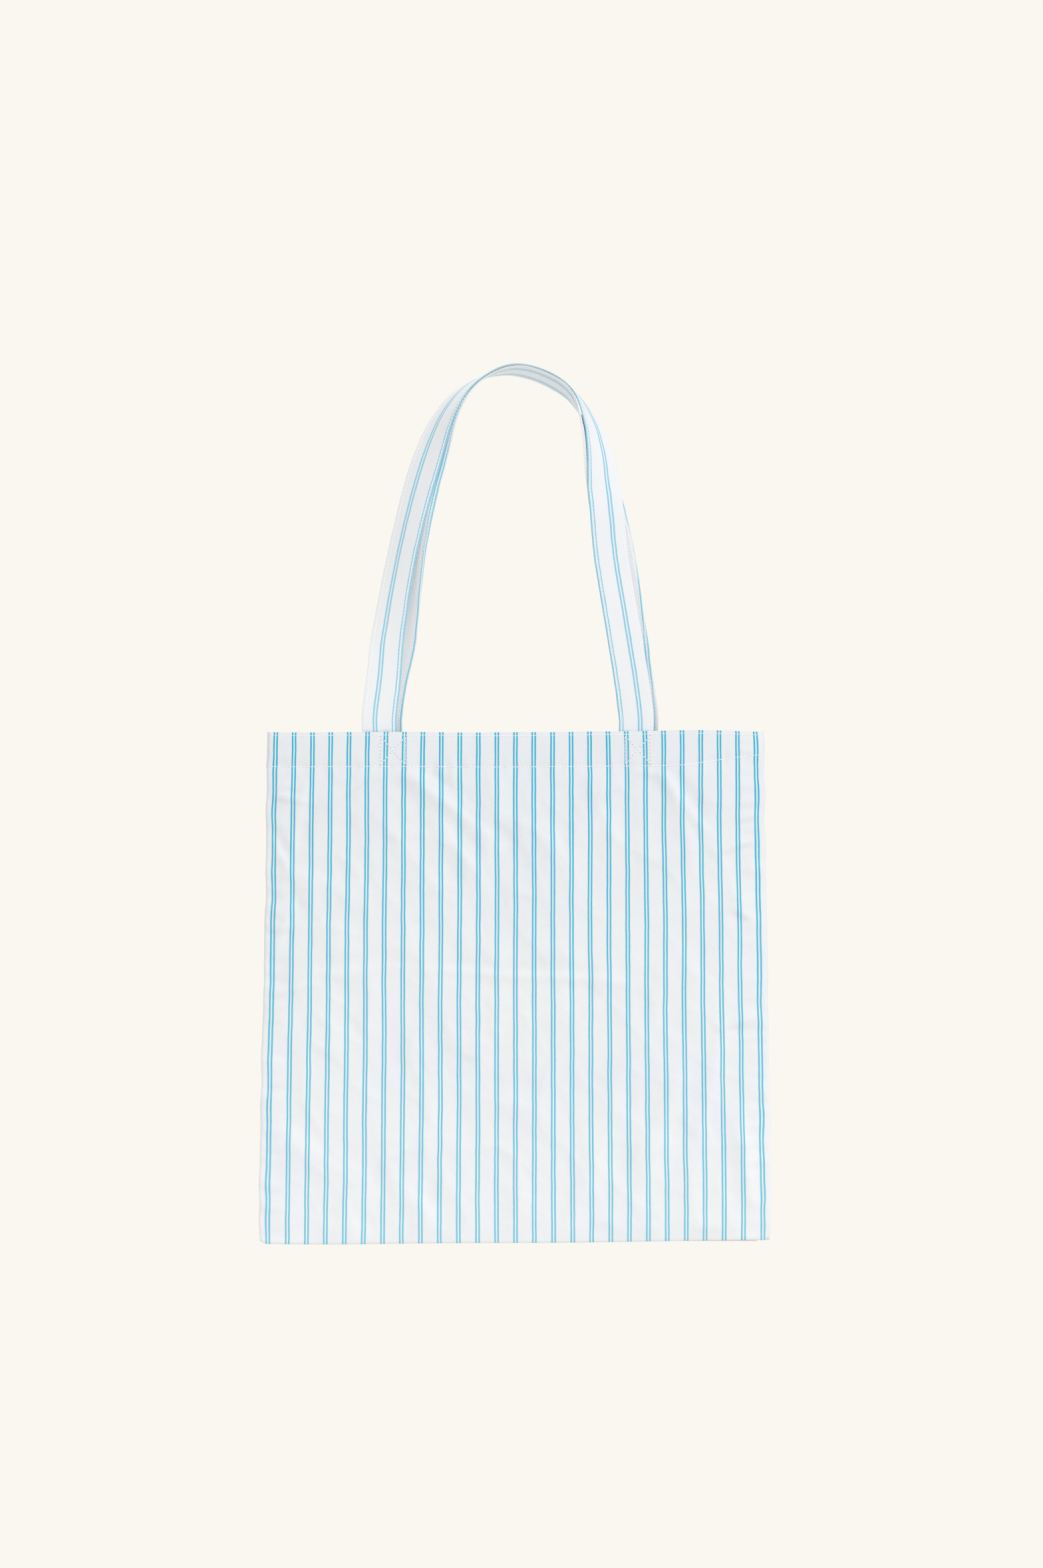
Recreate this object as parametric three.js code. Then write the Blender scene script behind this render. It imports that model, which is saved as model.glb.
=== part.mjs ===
// Canvas tote bag hanging by its two handles. Millimetres, +Z up, the front face towards -Y.
// The origin is the hanging point: under the top of the handles' arch, on the bag's middle planes.
import * as THREE from 'three';

// ---- Driving dimensions ----
const BAG_HEIGHT = 400;
const BOTTOM_WIDTH = 400;
const TOP_WIDTH = 388;
const BULGE = 7.3; // how far the middle of a panel stands out from its side edges
const CLOTH = 0.6;
const HEM_LAYERS = 3;
const HEM_DEPTH = 28;
const SEAM_WIDTH = 10; // folded and overlocked seam allowance inside the bag
const SEAM_THICKNESS = 1.6;
const STRAP_WIDTH = 27;
const STRAP_THICKNESS = 2;
const HANDLE_RISE = 284; // hem top to the middle of the straps at the arch's top
const STRAP_SPACING = 201; // between the middles of a handle's two legs, at the hem
const ARCH_SHIFT = -4; // the handles hang a little to the left of the bag's middle
const HANDLE_STAGGER = 2; // front handle to the left, back handle to the right
const TAIL_SPACING = 191; // between the middles of the two sewn strap ends
const LEFT_LEG_TURN = 30; // degrees that each strap is twisted: left leg, arch and right leg
const ARCH_TURN = 90;
const RIGHT_LEG_TURN = 6;
const STITCH_WIDTH = 0.6;
const STITCH_HEIGHT = 0.3;
const HEM_STITCH_INSET = 2.5; // upper row below the hem's top, and lower row above its fold
const STRAP_STITCH_INSET = 2.5;
const BOX_STITCH_WIDTH = 19.4;
const GAP = 0.3; // clearance between touching pieces
const STRAP_GAP = 1.2; // clearance between the two nested handles
const HINGE_LIFT = 1; // a handle folds over on a line this far above the hem

// Where a handle twists and spreads, as shares of its length from its left foot.
const LEFT_LEG_TWIST = [0, 0.22];
const LEFT_SHOULDER = [0.3, 0.53];
const RIGHT_SHOULDER = [0.54, 0.75];
const RIGHT_LEG_TWIST = [0.78, 1];
const SPREAD_REACH = 0.3; // from each foot to where the two handles lie nested

// ---- Derived sizes ----
const HEM_THICKNESS = CLOTH * HEM_LAYERS;
const NESTED_OFFSET = (STRAP_THICKNESS + STRAP_GAP) / 2;
const HEM_TOP_Z = NESTED_OFFSET + STRAP_THICKNESS / 2 - HANDLE_RISE;
const BOTTOM_Z = HEM_TOP_Z - BAG_HEIGHT;
const SHELL_HEIGHT = BAG_HEIGHT - HEM_DEPTH;

// ---- Mesh density ----
const PANEL_COLUMNS = 16;
const SHELL_ROWS = 12;
const HEM_ROWS = 2;
const LOOP_STEPS = 72;
const TAIL_COLUMNS = 4;
const TAIL_ROWS = 4;

const { lerp, smoothstep, degToRad } = THREE.MathUtils;
const FRONT = -1;
const BACK = 1;
const LEFT = -1;
const RIGHT = 1;

const canvasWhite = { color: '#ecedee', roughness: 0.9, metalness: 0 };
const threadWhite = { color: '#f7f7f5', roughness: 0.7, metalness: 0 };
const tote = new THREE.Group();

function addPiece(name, geometry, look) {
  const mesh = new THREE.Mesh(geometry, new THREE.MeshStandardMaterial(look));
  mesh.name = name;
  tote.add(mesh);
}

// Moves every vertex of a geometry to the place that a function gives for it.
function shaped(geometry, place) {
  const positions = geometry.getAttribute('position');
  const point = new THREE.Vector3();
  for (let i = 0; i < positions.count; i += 1) {
    point.fromBufferAttribute(positions, i);
    const moved = place(point);
    positions.setXYZ(i, moved.x, moved.y, moved.z);
  }
  geometry.computeVertexNormals();
  return geometry;
}

// ---- The bag's form: width and depth at a height above its bottom ----
function halfWidth(height) {
  return lerp(BOTTOM_WIDTH, TOP_WIDTH, height / BAG_HEIGHT) / 2;
}

// Distance from the middle plane to a panel's outer face. Across runs from -1 to 1 between the seams.
function outerDepth(across, height) {
  const rise = height / BAG_HEIGHT;
  const hemShare = Math.min(1, height / SHELL_HEIGHT) ** 2;
  const edge = SEAM_THICKNESS / 2 + GAP + CLOTH + (HEM_THICKNESS - CLOTH) * hemShare;
  return edge + BULGE * (1 - across ** 4) * (1 - (1 - rise) ** 3);
}

// A point on one side of the bag, at a depth measured inwards from the panel's outer face.
function onPanel(side, x, height, inward) {
  const across = x / halfWidth(height);
  return new THREE.Vector3(x, side * (outerDepth(across, height) - inward), BOTTOM_Z + height);
}

// A cloth panel: single cloth, and a thicker rolled hem turned to the inside at the mouth.
function panelRows() {
  const rows = [];
  for (let i = 0; i <= SHELL_ROWS; i += 1) {
    rows.push({ height: (SHELL_HEIGHT * i) / SHELL_ROWS, thickness: CLOTH });
  }
  for (let i = 0; i <= HEM_ROWS; i += 1) {
    const height = SHELL_HEIGHT + CLOTH + ((HEM_DEPTH - CLOTH) * i) / HEM_ROWS;
    rows.push({ height, thickness: HEM_THICKNESS });
  }
  return rows;
}

function panelGeometry(side) {
  const rows = panelRows();
  const steps = rows.length - 1;
  return shaped(new THREE.BoxGeometry(1, 1, 1, PANEL_COLUMNS, 1, steps), (p) => {
    const row = rows[Math.round((p.z + 0.5) * steps)];
    const inward = p.y * side > 0 ? 0 : row.thickness;
    return onPanel(side, 2 * p.x * halfWidth(row.height), row.height, inward);
  });
}

// A row of stitching along the hem, standing just proud of the outer face.
function hemStitchGeometry(side, height) {
  return shaped(new THREE.BoxGeometry(1, 1, 1, PANEL_COLUMNS, 1, 1), (p) => {
    const proud = p.y * side > 0 ? GAP + STITCH_HEIGHT : GAP;
    const x = 2 * p.x * halfWidth(height);
    return onPanel(side, x, height + p.z * STITCH_WIDTH, -proud);
  });
}

// ---- The seam allowances, upright between the panels ----
function sideSeamGeometry(hand) {
  return shaped(new THREE.BoxGeometry(1, 1, 1, 1, 1, SHELL_ROWS), (p) => {
    const height = (p.z + 0.5) * BAG_HEIGHT;
    const middle = hand * (halfWidth(height) - SEAM_WIDTH / 2);
    return new THREE.Vector3(middle + p.x * SEAM_WIDTH, p.y * SEAM_THICKNESS, BOTTOM_Z + height);
  });
}

function bottomSeamGeometry() {
  return shaped(new THREE.BoxGeometry(1, 1, 1, PANEL_COLUMNS, 1, 1), (p) => {
    const height = (p.z + 0.5) * SEAM_WIDTH;
    const reach = halfWidth(height) - SEAM_WIDTH - GAP;
    return new THREE.Vector3(2 * p.x * reach, p.y * SEAM_THICKNESS, BOTTOM_Z + height);
  });
}

// ---- The handles ----
// The legs' and arch's middle line: share of the half spacing across, and share of the rise.
// Both legs leave the hem upright.
const HANDLE_LINE = [
  [-1, 0],
  [-1, 0.04],
  [-0.915, 0.24],
  [-0.79, 0.525],
  [-0.645, 0.732],
  [-0.46, 0.898],
  [-0.27, 0.968],
  [-0.01, 1],
  [0.26, 0.982],
  [0.47, 0.937],
  [0.6, 0.856],
  [0.67, 0.78],
  [0.74, 0.644],
  [0.815, 0.477],
  [0.92, 0.24],
  [1, 0.04],
  [1, 0],
];

function handleCurve() {
  const foot = HEM_TOP_Z + HINGE_LIFT + GAP;
  const top = HEM_TOP_Z + HANDLE_RISE;
  const points = HANDLE_LINE.map(([across, rise]) => {
    const x = ARCH_SHIFT + (across * STRAP_SPACING) / 2;
    return new THREE.Vector3(x, 0, lerp(foot, top, rise));
  });
  return new THREE.CatmullRomCurve3(points);
}

const curve = handleCurve();

// The twist of the straps along the handle, in radians. At zero a strap faces the front.
function twist(along) {
  const leftLeg = LEFT_LEG_TURN * smoothstep(along, ...LEFT_LEG_TWIST);
  const leftShoulder = (ARCH_TURN - LEFT_LEG_TURN) * smoothstep(along, ...LEFT_SHOULDER);
  const rightShoulder = (RIGHT_LEG_TURN - ARCH_TURN) * smoothstep(along, ...RIGHT_SHOULDER);
  const rightLeg = -RIGHT_LEG_TURN * smoothstep(along, ...RIGHT_LEG_TWIST);
  return degToRad(leftLeg + leftShoulder + rightShoulder + rightLeg);
}

// How far a handle's middle line is from the pair's: wide at the hem, nested from mid leg up.
function legSpread(along) {
  const foot = 1 - smoothstep(Math.min(along, 1 - along), 0, SPREAD_REACH);
  return { depth: lerp(NESTED_OFFSET, strapMiddleDepth(), foot), stagger: HANDLE_STAGGER * foot };
}

function strapMiddleDepth() {
  const across = STRAP_SPACING / TOP_WIDTH;
  return outerDepth(across, BAG_HEIGHT) - HEM_THICKNESS - GAP - STRAP_THICKNESS / 2;
}

// A point of a handle: wide is measured across the strap, deep through it towards the back.
function onHandle(side, along, wide, deep) {
  const tangent = curve.getTangentAt(along);
  const inward = new THREE.Vector3(tangent.z, 0, -tangent.x);
  const back = new THREE.Vector3(0, 1, 0);
  const turn = twist(along);
  const widthwise = inward.clone().multiplyScalar(Math.cos(turn)).addScaledVector(back, -Math.sin(turn));
  const normal = inward.clone().multiplyScalar(Math.sin(turn)).addScaledVector(back, Math.cos(turn));
  const spread = legSpread(along);
  const point = curve.getPointAt(along).addScaledVector(normal, side * spread.depth + deep);
  point.x += side * spread.stagger;
  return point.addScaledVector(widthwise, wide);
}

// A band that follows a handle, with edges at the given positions across it and through it.
function handleBand(side, wides, deeps) {
  const columns = wides.length - 1;
  return shaped(new THREE.BoxGeometry(1, 1, 1, columns, 1, LOOP_STEPS), (p) => {
    const wide = wides[Math.round((p.x + 0.5) * columns)];
    return onHandle(side, p.z + 0.5, wide, deeps[Math.round(p.y + 0.5)]);
  });
}

// The strap has an edge under each row of stitching, so that the rows lie evenly above it.
function handleGeometry(side) {
  const edge = STRAP_WIDTH / 2;
  const row = edge - STRAP_STITCH_INSET;
  const deep = STRAP_THICKNESS / 2;
  return handleBand(side, [-edge, -row, 0, row, edge], [-deep, deep]);
}

// A row of edge stitching on a handle's outer face. Hand is the strap's outer or inner edge.
function handleStitchGeometry(side, hand) {
  const middle = hand * (STRAP_WIDTH / 2 - STRAP_STITCH_INSET);
  const wides = [middle - STITCH_WIDTH / 2, middle + STITCH_WIDTH / 2];
  const near = STRAP_THICKNESS / 2 + GAP;
  const deeps = [side * near, side * (near + STITCH_HEIGHT)];
  return handleBand(side, wides, deeps.sort((a, b) => a - b));
}

// A sewn strap end, flat behind the hem. It leans from its box of stitches to the handle's leg.
function strapEndGeometry(side, hand) {
  const atBox = (hand * TAIL_SPACING) / 2;
  const atHinge = ARCH_SHIFT + (hand * STRAP_SPACING) / 2 + side * HANDLE_STAGGER;
  const length = HEM_DEPTH + HINGE_LIFT;
  return shaped(new THREE.BoxGeometry(1, 1, 1, TAIL_COLUMNS, 1, TAIL_ROWS), (p) => {
    const rise = p.z + 0.5;
    const x = lerp(atBox, atHinge, rise) + p.x * STRAP_WIDTH;
    const outward = p.y * side > 0 ? 0 : STRAP_THICKNESS;
    const depth = outerDepth((2 * x) / TOP_WIDTH, BAG_HEIGHT) - HEM_THICKNESS - GAP - outward;
    return new THREE.Vector3(x, side * depth, HEM_TOP_Z - HEM_DEPTH + rise * length);
  });
}

// A box of stitches crossed by an X, sewn through the hem and a strap end. It keeps clear of the
// hem's two rows, so that the threads don't cut each other.
function boxStitchShape(halfWide, halfTall) {
  const shape = rectangle(THREE.Shape, halfWide, halfTall);
  const wide = halfWide - STITCH_WIDTH;
  const tall = halfTall - STITCH_WIDTH;
  const diagonal = (STITCH_WIDTH / 2) * Math.hypot(wide, tall);
  const overCrossing = diagonal / wide;
  const besideCrossing = diagonal / tall;
  for (const sign of [-1, 1]) {
    shape.holes.push(triangle([0, sign * overCrossing], [sign * (wide - besideCrossing), sign * tall],
      [-sign * (wide - besideCrossing), sign * tall]));
    shape.holes.push(triangle([sign * besideCrossing, 0], [sign * wide, -sign * (tall - overCrossing)],
      [sign * wide, sign * (tall - overCrossing)]));
  }
  return shape;
}

function rectangle(Kind, halfWide, halfTall) {
  const corners = [[-1, -1], [1, -1], [1, 1], [-1, 1]];
  return new Kind(corners.map(([x, y]) => new THREE.Vector2(x * halfWide, y * halfTall)));
}

function triangle(...corners) {
  return new THREE.Path(corners.map(([x, y]) => new THREE.Vector2(x, y)));
}

function boxStitchGeometry(side, hand) {
  const halfTall = HEM_DEPTH / 2 - HEM_STITCH_INSET - STITCH_WIDTH / 2 - GAP;
  const shape = boxStitchShape(BOX_STITCH_WIDTH / 2, halfTall);
  const flat = new THREE.ExtrudeGeometry(shape, { depth: STITCH_HEIGHT, bevelEnabled: false });
  return shaped(flat, (p) => {
    const x = (hand * TAIL_SPACING) / 2 - side * p.x;
    return onPanel(side, x, BAG_HEIGHT - HEM_DEPTH / 2 + p.y, -GAP - p.z);
  });
}

// ---- Assembly ----
for (const [sideName, side] of [['front', FRONT], ['back', BACK]]) {
  addPiece(`${sideName}_panel`, panelGeometry(side), canvasWhite);
  addPiece(`${sideName}_handle`, handleGeometry(side), canvasWhite);
  addPiece(`${sideName}_hem_stitch_upper`, hemStitchGeometry(side, BAG_HEIGHT - HEM_STITCH_INSET),
    threadWhite);
  addPiece(`${sideName}_hem_stitch_lower`, hemStitchGeometry(side, SHELL_HEIGHT + HEM_STITCH_INSET),
    threadWhite);
  for (const [edgeName, hand] of [['outer', LEFT], ['inner', RIGHT]]) {
    addPiece(`${sideName}_handle_stitch_${edgeName}`, handleStitchGeometry(side, hand), threadWhite);
  }
  for (const [handName, hand] of [['left', LEFT], ['right', RIGHT]]) {
    addPiece(`${sideName}_${handName}_strap_end`, strapEndGeometry(side, hand), canvasWhite);
    addPiece(`${sideName}_${handName}_box_stitch`, boxStitchGeometry(side, hand), threadWhite);
  }
}
addPiece('left_seam', sideSeamGeometry(LEFT), canvasWhite);
addPiece('right_seam', sideSeamGeometry(RIGHT), canvasWhite);
addPiece('bottom_seam', bottomSeamGeometry(), canvasWhite);

export default tote;
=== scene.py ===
"""A striped canvas tote bag, hanging by its two handles: its looks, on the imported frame."""

import bisect
import math

import bmesh
import bpy
from mathutils import Matrix, Vector, noise


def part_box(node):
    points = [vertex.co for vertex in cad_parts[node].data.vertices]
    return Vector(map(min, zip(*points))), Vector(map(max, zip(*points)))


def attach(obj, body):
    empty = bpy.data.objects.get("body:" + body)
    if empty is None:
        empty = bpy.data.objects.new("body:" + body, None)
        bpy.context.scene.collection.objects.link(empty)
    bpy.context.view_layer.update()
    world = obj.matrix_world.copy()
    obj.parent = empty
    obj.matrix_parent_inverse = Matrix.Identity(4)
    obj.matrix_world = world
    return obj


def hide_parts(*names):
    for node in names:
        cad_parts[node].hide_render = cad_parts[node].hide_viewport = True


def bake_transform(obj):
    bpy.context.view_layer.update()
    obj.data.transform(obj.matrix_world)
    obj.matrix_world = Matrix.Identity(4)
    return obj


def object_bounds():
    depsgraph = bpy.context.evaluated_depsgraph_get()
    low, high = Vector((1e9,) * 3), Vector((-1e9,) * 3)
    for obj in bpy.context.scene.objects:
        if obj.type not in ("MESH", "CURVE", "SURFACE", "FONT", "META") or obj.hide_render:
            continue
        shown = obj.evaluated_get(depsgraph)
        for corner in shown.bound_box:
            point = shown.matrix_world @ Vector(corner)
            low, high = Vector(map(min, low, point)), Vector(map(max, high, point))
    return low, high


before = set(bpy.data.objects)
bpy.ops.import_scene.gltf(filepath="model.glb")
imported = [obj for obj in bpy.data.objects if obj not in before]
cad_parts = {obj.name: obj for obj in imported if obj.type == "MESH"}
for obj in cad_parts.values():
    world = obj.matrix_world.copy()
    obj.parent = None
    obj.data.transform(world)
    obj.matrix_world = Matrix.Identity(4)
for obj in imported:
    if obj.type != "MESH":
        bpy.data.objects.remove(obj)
cad_box = [list(corner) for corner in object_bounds()]

# ---- Studio ----
# A pale cream room with no visible wall: the floor and the air around it have the same tone.
# The camera looks square at the bag's front, level with its hem.
MM = 0.001
BACKDROP = "#FAF7F0"
CAMERA_DISTANCE = 3.0
VIEW_HEIGHT = 1.2297
VIEW_CENTRE = (0.0047, -0.3221)
SENSOR = 36.0
FILL_COLOUR = "#F3F3F6"
FILL_STRENGTH = 0.72
FLOOR_BOUNCE = "#EEEDE9"
FLOOR_DROP = 0.55
FLOOR_REACH = 60.0


def linear(hex_colour):
    """An sRGB hex value as the linear colour that shaders take."""
    parts = [int(hex_colour[i : i + 2], 16) / 255 for i in (1, 3, 5)]
    return [p / 12.92 if p <= 0.04045 else ((p + 0.055) / 1.055) ** 2.4 for p in parts] + [1.0]


def add_node(tree, kind, settings=None, inputs=None):
    """Adds a node. Settings are its own values; an input is a value or another node's socket."""
    node = tree.nodes.new(kind)
    for name, value in (settings or {}).items():
        setattr(node, name, value)
    for name, value in (inputs or {}).items():
        if isinstance(value, bpy.types.NodeSocket):
            tree.links.new(value, node.inputs[name])
        else:
            node.inputs[name].default_value = value
    return node


def new_material(name):
    material = bpy.data.materials.new(name)
    material.use_nodes = True
    material.node_tree.nodes.clear()
    return material


camera_data = bpy.data.cameras.new("camera")
camera_data.sensor_width = SENSOR
camera_data.lens = SENSOR * CAMERA_DISTANCE / VIEW_HEIGHT
camera = bpy.data.objects.new("camera", camera_data)
camera.location = (VIEW_CENTRE[0], -CAMERA_DISTANCE, VIEW_CENTRE[1])
camera.rotation_euler = (math.pi / 2, 0, 0)
bpy.context.scene.collection.objects.link(camera)
bpy.context.scene.camera = camera
bpy.context.scene.view_settings.view_transform = "Standard"

world = bpy.data.worlds.new("pale studio")
bpy.context.scene.world = world
world.use_nodes = True
air = world.node_tree
air.nodes.clear()
seen = add_node(air, "ShaderNodeBackground", inputs={"Color": linear(BACKDROP), "Strength": 1.0})
fill_light = {"Color": linear(FILL_COLOUR), "Strength": FILL_STRENGTH}
fill = add_node(air, "ShaderNodeBackground", inputs=fill_light)
path = add_node(air, "ShaderNodeLightPath")
both = add_node(air, "ShaderNodeMixShader", inputs={0: path.outputs["Is Camera Ray"]})
air.links.new(fill.outputs[0], both.inputs[1])
air.links.new(seen.outputs[0], both.inputs[2])
add_node(air, "ShaderNodeOutputWorld", inputs={"Surface": both.outputs[0]})


def add_sun(name, azimuth, elevation, strength, softness):
    """A soft distant lamp, and what it adds to the floor. Azimuth 0 is on the camera's side."""
    data = bpy.data.lights.new(name, "SUN")
    data.energy = strength
    data.angle = math.radians(softness)
    lamp = bpy.data.objects.new(name, data)
    a, e = math.radians(azimuth), math.radians(elevation)
    towards = Vector((math.sin(a) * math.cos(e), -math.cos(a) * math.cos(e), math.sin(e)))
    lamp.rotation_euler = towards.to_track_quat("Z", "Y").to_euler()
    bpy.context.scene.collection.objects.link(lamp)
    return strength * math.sin(e) / math.pi


sun_on_floor = add_sun("key", azimuth=30, elevation=40, strength=1.42, softness=10)
sun_on_floor += add_sun("back_fill", azimuth=215, elevation=30, strength=0.9, softness=40)

floor_bm = bmesh.new()
bmesh.ops.create_grid(floor_bm, x_segments=1, y_segments=1, size=FLOOR_REACH)
bmesh.ops.translate(floor_bm, verts=floor_bm.verts, vec=(0, 0, cad_box[0][2] - FLOOR_DROP))
floor_mesh = bpy.data.meshes.new("floor")
floor_bm.to_mesh(floor_mesh)
floor = bpy.data.objects.new("floor", floor_mesh)
bpy.context.scene.collection.objects.link(floor)
floor_paint = new_material("matt painted floor")
floor_tone = [
    seen_tone / (fill_tone * FILL_STRENGTH + sun_on_floor)
    for seen_tone, fill_tone in zip(linear(BACKDROP)[:3], linear(FILL_COLOUR)[:3])
] + [1.0]
floor_tree = floor_paint.node_tree
floor_path = add_node(floor_tree, "ShaderNodeLightPath")
floor_mix = {"A": linear(FLOOR_BOUNCE), "B": floor_tone}
floor_mix["Factor"] = floor_path.outputs["Is Camera Ray"]
floor_colour = add_node(floor_tree, "ShaderNodeMix", {"data_type": "RGBA"}, floor_mix)
floor_input = {"Color": floor_colour.outputs["Result"]}
paint = add_node(floor_tree, "ShaderNodeBsdfDiffuse", inputs=floor_input)
add_node(floor_tree, "ShaderNodeOutputMaterial", inputs={"Surface": paint.outputs[0]})
floor_mesh.materials.append(floor_paint)

# ---- The canvas ----
# Plain-woven cotton canvas, bleached white, with pairs of thin cyan lines printed along the warp.
# Every sheet's UV map holds its flat cut in metres: across the warp from the middle of a pair of
# lines, and along the warp. The weave is drawn with coarser threads than 0.5 mm, so that it shows.
CANVAS_WHITE = "#EEEFEE"
CANVAS_SHADE = "#E7E9EE"
# The top tone greys the ground towards the mouth: painted shade, the canvas darker at the top.
CANVAS_TOP_PAINTED_SHADE = "#F7F8F9"
LINE_DEEP = "#22AFD0"
LINE_PALE = "#74C6DD"
STRIPE_PITCH = 14.89
LINE_OFFSET = 1.2
LINE_HALF_WIDTH = 0.66
LINE_BLUR = 0.28
LINE_DRIFT = 0.7
LINE_SLUBS = 0.3
THREAD_PITCH = 0.9


def striped_canvas(name, deep_at, pale_at, line_strength, relief_strength):
    """Lines go from pale to deep, and painted shade greys the ground, as the warp distance in mm
    goes between two values.
    """
    material = new_material(name)
    tree = material.node_tree
    uv = add_node(tree, "ShaderNodeUVMap", {"uv_map": "cut"})
    split = add_node(tree, "ShaderNodeSeparateXYZ", inputs={0: uv.outputs[0]})

    def maths(operation, *values, **settings):
        return add_node(
            tree,
            "ShaderNodeMath",
            {"operation": operation, **settings},
            dict(enumerate(values)),
        ).outputs[0]

    across = maths("MULTIPLY", split.outputs["X"], 1000)
    along = maths("MULTIPLY", split.outputs["Y"], 1000)
    flat = add_node(tree, "ShaderNodeVectorMath", {"operation": "SCALE"}, {0: uv.outputs[0]})
    flat.inputs["Scale"].default_value = 1000
    drift = add_node(
        tree,
        "ShaderNodeTexNoise",
        {"noise_dimensions": "2D"},
        {"Vector": flat.outputs[0], "Scale": 0.05, "Detail": 2.0},
    )
    shifted = maths("MULTIPLY_ADD", drift.outputs["Fac"], LINE_DRIFT, across)
    turns = maths("DIVIDE", shifted, STRIPE_PITCH)
    nearest = maths("ABSOLUTE", maths("SUBTRACT", turns, maths("ROUND", turns)))
    from_pair = maths("MULTIPLY", nearest, STRIPE_PITCH)
    from_line = maths("ABSOLUTE", maths("SUBTRACT", from_pair, LINE_OFFSET))
    line = add_node(
        tree,
        "ShaderNodeMapRange",
        {"interpolation_type": "SMOOTHSTEP"},
        {
            "Value": from_line,
            "From Min": LINE_HALF_WIDTH + LINE_BLUR,
            "From Max": LINE_HALF_WIDTH - LINE_BLUR,
            "To Min": 0.0,
            "To Max": 1.0,
        },
    ).outputs[0]

    warp = maths("SINE", maths("MULTIPLY", across, 2 * math.pi / THREAD_PITCH))
    weft = maths("SINE", maths("MULTIPLY", along, 2 * math.pi / THREAD_PITCH))
    weave = maths("MULTIPLY", warp, weft)
    slubs = add_node(
        tree,
        "ShaderNodeTexNoise",
        {"noise_dimensions": "2D"},
        {"Vector": flat.outputs[0], "Scale": 0.55, "Detail": 3.0, "Roughness": 0.65},
    ).outputs["Fac"]
    cloudy = add_node(
        tree,
        "ShaderNodeTexNoise",
        {"noise_dimensions": "2D"},
        {"Vector": flat.outputs[0], "Scale": 0.012, "Detail": 3.0},
    ).outputs["Fac"]

    fade = add_node(
        tree,
        "ShaderNodeMapRange",
        inputs={"Value": along, "From Min": pale_at, "From Max": deep_at},
    ).outputs[0]

    def blended(factor, a, b, **settings):
        values = {"Factor": factor, "A": a, "B": b}
        node = add_node(tree, "ShaderNodeMix", {"data_type": "RGBA", **settings}, values)
        return node.outputs["Result"]

    mottled = blended(cloudy, linear(CANVAS_WHITE), linear(CANVAS_SHADE))
    # Towards the top the ground is multiplied by the top tone: painted shade, darker at the top.
    shaded_ground = blended(fade, mottled, linear(CANVAS_TOP_PAINTED_SHADE), blend_type="MULTIPLY")
    ink = blended(fade, linear(LINE_PALE), linear(LINE_DEEP))
    strength = maths("MULTIPLY_ADD", slubs, LINE_SLUBS, line_strength)
    taken = maths("MULTIPLY", line, strength, use_clamp=True)
    printed = blended(taken, shaded_ground, ink)

    relief = maths("MULTIPLY_ADD", slubs, 1.2, weave)
    bump = add_node(
        tree,
        "ShaderNodeBump",
        inputs={"Strength": relief_strength, "Distance": 0.12 * MM, "Height": relief},
    )
    cloth = add_node(
        tree,
        "ShaderNodeBsdfPrincipled",
        inputs={
            "Base Color": printed,
            "Roughness": 0.88,
            "Specular IOR Level": 0.25,
            "Sheen Weight": 0.12,
            "Sheen Roughness": 0.55,
            "Normal": bump.outputs[0],
        },
    )
    add_node(tree, "ShaderNodeOutputMaterial", inputs={"Surface": cloth.outputs[0]})
    return material


def finish_piece(bm, name, materials):
    """Makes the bmesh an object at the origin, with its materials, linked into the scene."""
    mesh = bpy.data.meshes.new(name)
    bm.to_mesh(mesh)
    bm.free()
    for material in materials:
        mesh.materials.append(material)
    mesh.shade_smooth()
    piece = bpy.data.objects.new(name, mesh)
    bpy.context.scene.collection.objects.link(piece)
    return piece


# ---- Front and back panels ----
# Each panel is one cut of canvas. Its mouth edge is rolled to the inside as a hem three cloths
# thick, and its sides and bottom turn in to the seams. A panel is made whole, then parted down the
# middle into a left and a right half.
low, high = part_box("front_panel")
HEIGHT = high.z - low.z
BOTTOM_Z = low.z
HALF_BOTTOM = high.x
HALF_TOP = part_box("front_hem_stitch_upper")[1].x
CLOTH = 0.6 * MM
HEM_THICKNESS = 3 * CLOTH
HEM_DEPTH = 28 * MM
BULGE = 7.3 * MM
SEAM_EDGE = 1.7 * MM
HEM_EDGE = 2.9 * MM
SEAM_TURN = 2.2 * MM
SEAM_SLIT = 0.35 * MM
SEAM_WIDTH = 10 * MM
GRID_STEP = 2.0 * MM
FIRST_PAIR = 6.8 * MM
UPPER_ROW = 2.5 * MM
LOWER_ROW = 27 * MM
LOWER_ROW_RISE = 9.5 * MM
SIDES = (("front", -1), ("back", 1))
HANDS = (("left", -1), ("right", 1))

canvas = striped_canvas("bleached cotton canvas", 395, 10, line_strength=0.86, relief_strength=0.35)


def smooth(value, start, end):
    t = min(1.0, max(0.0, (value - start) / (end - start)))
    return t * t * (3 - 2 * t)


def mix(a, b, t):
    return a + (b - a) * t


def half_width(height):
    return mix(HALF_BOTTOM, HALF_TOP, height / HEIGHT)


def outer_depth(across, height):
    """From the middle plane to a panel's outer face, before its edges turn in and it creases."""
    rise = min(1.0, height / HEIGHT)
    hem_share = min(1.0, height / (HEIGHT - HEM_DEPTH)) ** 2
    edge = mix(SEAM_EDGE, HEM_EDGE, hem_share)
    return edge + BULGE * (1 - across**4) * (1 - (1 - rise) ** 3)


def quarter_round(t):
    """A quarter ellipse from 0 at t = 0 to 1 at t = 1."""
    t = min(1.0, max(0.0, t))
    return math.sqrt(1 - (1 - t) ** 2)


def lower_row(side, x):
    """The height of the hem's lower row of stitches. It climbs towards the front's right seam."""
    rise = LOWER_ROW_RISE * smooth(x, 118 * MM, 205 * MM) if side < 0 else 0
    return HEIGHT - LOWER_ROW + rise


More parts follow.
